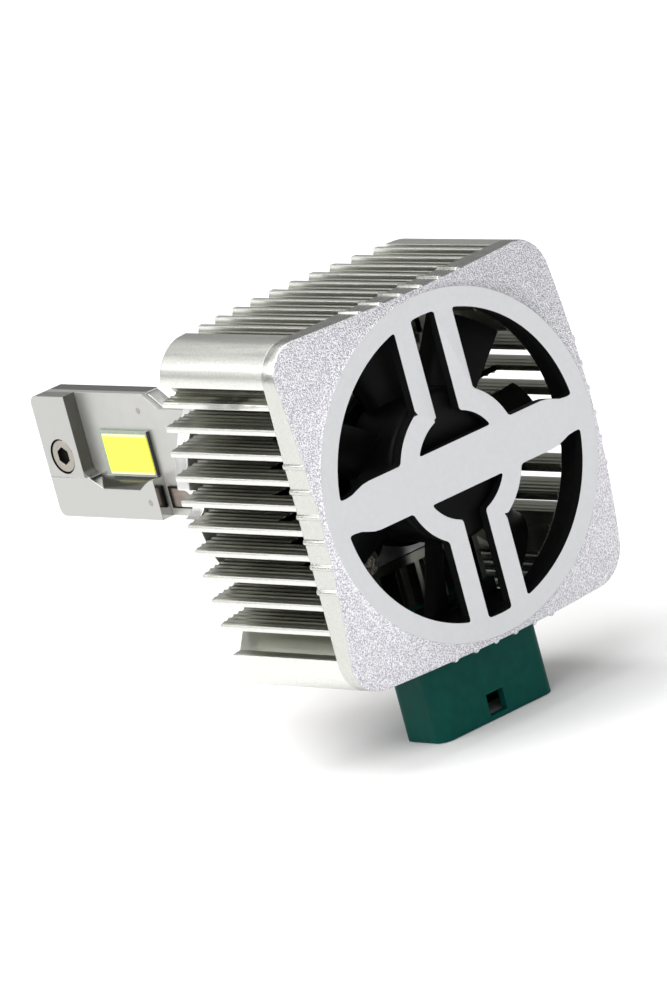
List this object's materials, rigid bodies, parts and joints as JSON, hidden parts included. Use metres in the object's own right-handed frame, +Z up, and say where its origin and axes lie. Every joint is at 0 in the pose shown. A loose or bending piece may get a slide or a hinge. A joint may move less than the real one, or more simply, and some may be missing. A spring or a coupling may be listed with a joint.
{
  "type": "headlight bulb",
  "caption": "Headlight bulb with a flat LED blade on a round collar, a finned square heat sink, a cooling fan behind a round grille, and a plug socket below.",
  "frame": {"origin": "on the bulb's axis, in the front face of the collar, which seats against the headlight", "axes": "+Y along the axis to the blade's tip, +X to the right seen from the fan, +Z up, away from the plug"},
  "size_m": [0.0398, 0.0707, 0.0487],
  "materials": {
    "sink_silver": "satin anodised, machined",
    "cover_silver": "bead-blasted, satin silver",
    "collar_silver": "satin anodised",
    "stem_silver": "satin anodised",
    "blade_silver": "fine satin",
    "polished_bar": "polished",
    "board_copper": "copper core board with a pale solder mask",
    "strip_copper": "dull copper",
    "led_case": "grey-green ceramic",
    "phosphor": "yellow phosphor in silicone",
    "screw_steel": "bright zinc",
    "screw_black": "blackened",
    "shaft_steel": "ground",
    "sleeve_bronze": "oiled bronze",
    "yoke_steel": "zinc plated",
    "magnet_black": "matte bonded ferrite",
    "fan_black": "matte moulded",
    "coil_copper": "enamelled copper wire",
    "board_green": "green solder mask",
    "chip_black": "matte epoxy",
    "capacitor_blue": "sleeved can",
    "pad_blue": "soft silicone",
    "lid_grey": "plain rolled",
    "connector_green": "dark green moulded",
    "pin_gold": "gold plated",
    "seal_orange": "silicone rubber",
    "grommet_black": "moulded rubber",
    "wire_red": "insulated wire"
  },
  "bodies": {
    "bulb": {"heat_sink": "sink_silver", "rear_cover": "cover_silver", "cover_screws": "screw_black", "cavity_lid": "lid_grey", "thermal_pad": "pad_blue", "driver_board": "board_green", "driver_coil": "coil_copper", "driver_capacitors": "capacitor_blue", "driver_chips": "chip_black", "board_screws": "screw_steel", "fan_base": "fan_black", "fan_screws": "screw_steel", "bearing_sleeve": "sleeve_bronze", "stator_core": "yoke_steel", "stator_coils": "coil_copper", "fan_board": "board_green", "collar": "collar_silver", "stem": "stem_silver", "stem_screws": "screw_black", "seal_ring": "seal_orange", "led_board": "board_copper", "left_led": "led_case", "right_led": "led_case", "left_phosphor": "phosphor", "right_phosphor": "phosphor", "left_tip_block": "blade_silver", "right_tip_block": "blade_silver", "left_reflector_bar": "polished_bar", "right_reflector_bar": "polished_bar", "left_supply_strip": "strip_copper", "right_supply_strip": "strip_copper", "board_pins": "screw_steel", "tip_screw": "screw_steel", "connector_housing": "connector_green", "connector_pins": "pin_gold", "wire_grommet": "grommet_black", "connector_screws": "screw_black", "supply_wires": "wire_red", "led_wires": "wire_red", "fan_wires": "wire_red"},
    "fan_rotor": {"impeller": "fan_black", "rotor_yoke": "yoke_steel", "rotor_magnet": "magnet_black", "fan_shaft": "shaft_steel", "shaft_clip": "screw_steel"}
  },
  "joints": [
    {"name": "fan_spin", "type": "hinge", "parent": "bulb", "child": "fan_rotor", "pos_m": [0, -0.0225, 0], "axis": [0, 1, 0], "continuous": true}
  ]
}
